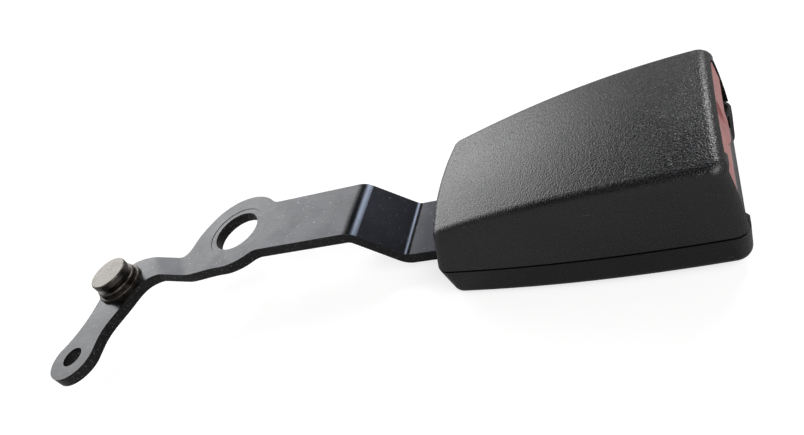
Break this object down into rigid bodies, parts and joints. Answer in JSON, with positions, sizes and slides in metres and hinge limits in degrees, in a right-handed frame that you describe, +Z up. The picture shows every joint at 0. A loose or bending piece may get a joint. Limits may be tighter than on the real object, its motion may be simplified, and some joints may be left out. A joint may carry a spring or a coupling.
{
  "type": "seat belt buckle",
  "caption": "Press-button seat belt buckle head riveted on a joggled steel anchor strap with a bolt eye, side arm and shouldered stud.",
  "frame": {"origin": "centre of the anchor hole on the strap's top face", "axes": "+Z up along the anchor hole, out of the face on the release button's side; +X along the strap towards the buckle's mouth; +Y to the left of that direction, away from the side arm"},
  "size_m": [0.162, 0.0648, 0.0252],
  "materials": {
    "strap_steel": "satin rolled steel with dark cut edges",
    "stud_steel": "warm grey turned steel",
    "frame_steel": "zinc plated pressing",
    "spring_steel": "bright drawn wire",
    "cover_plastic": "fine-grained black moulding",
    "button_plastic": "dusty red moulding",
    "guide_plastic": "dark grey moulding",
    "ejector_plastic": "natural acetal",
    "felt": "black felt"
  },
  "bodies": {
    "housing": {"anchor_strap": "strap_steel", "anchor_stud": "stud_steel", "stud_collar": "stud_steel", "stud_washer": "stud_steel", "upper_cover": "cover_plastic", "lower_cover": "cover_plastic", "buckle_frame": "frame_steel", "frame_rivet_left": "stud_steel", "frame_rivet_right": "stud_steel", "latch_pin": "stud_steel", "pin_clip_left": "spring_steel", "pin_clip_right": "spring_steel", "latch_spring": "spring_steel", "spring_plate": "frame_steel", "button_spring_left": "spring_steel", "button_spring_right": "spring_steel", "ejector_spring": "spring_steel", "tongue_guide": "guide_plastic", "damping_pad": "felt"},
    "button": {"release_button": "button_plastic", "lock_bar": "stud_steel"},
    "latch_lever": {"latch": "frame_steel"},
    "ejector_plate": {"ejector": "ejector_plastic"}
  },
  "joints": [
    {"name": "button_press", "type": "slide", "parent": "housing", "child": "button", "axis": [-1, 0, 0], "range_m": [0, 0.0055], "stiffness_N_per_m": 150, "springref_m": -0.004, "deforming": ["button_spring_left", "button_spring_right"]},
    {"name": "latch_pivot", "type": "hinge", "parent": "housing", "child": "latch_lever", "pos_m": [0.07196, 0, -0.0031], "axis": [0, -1, 0], "range_deg": [0, 8.8], "stiffness_Nm_per_rad": 0.01, "springref_deg": -11.46, "deforming": ["latch_spring"]},
    {"name": "ejector_slide", "type": "slide", "parent": "housing", "child": "ejector_plate", "axis": [-1, 0, 0], "range_m": [0, 0.008], "stiffness_N_per_m": 60, "springref_m": -0.006, "deforming": ["ejector_spring"]}
  ],
  "couplings": [
    {"joint": "latch_pivot", "follows": "button_press", "rad_per_m": 27.925}
  ]
}
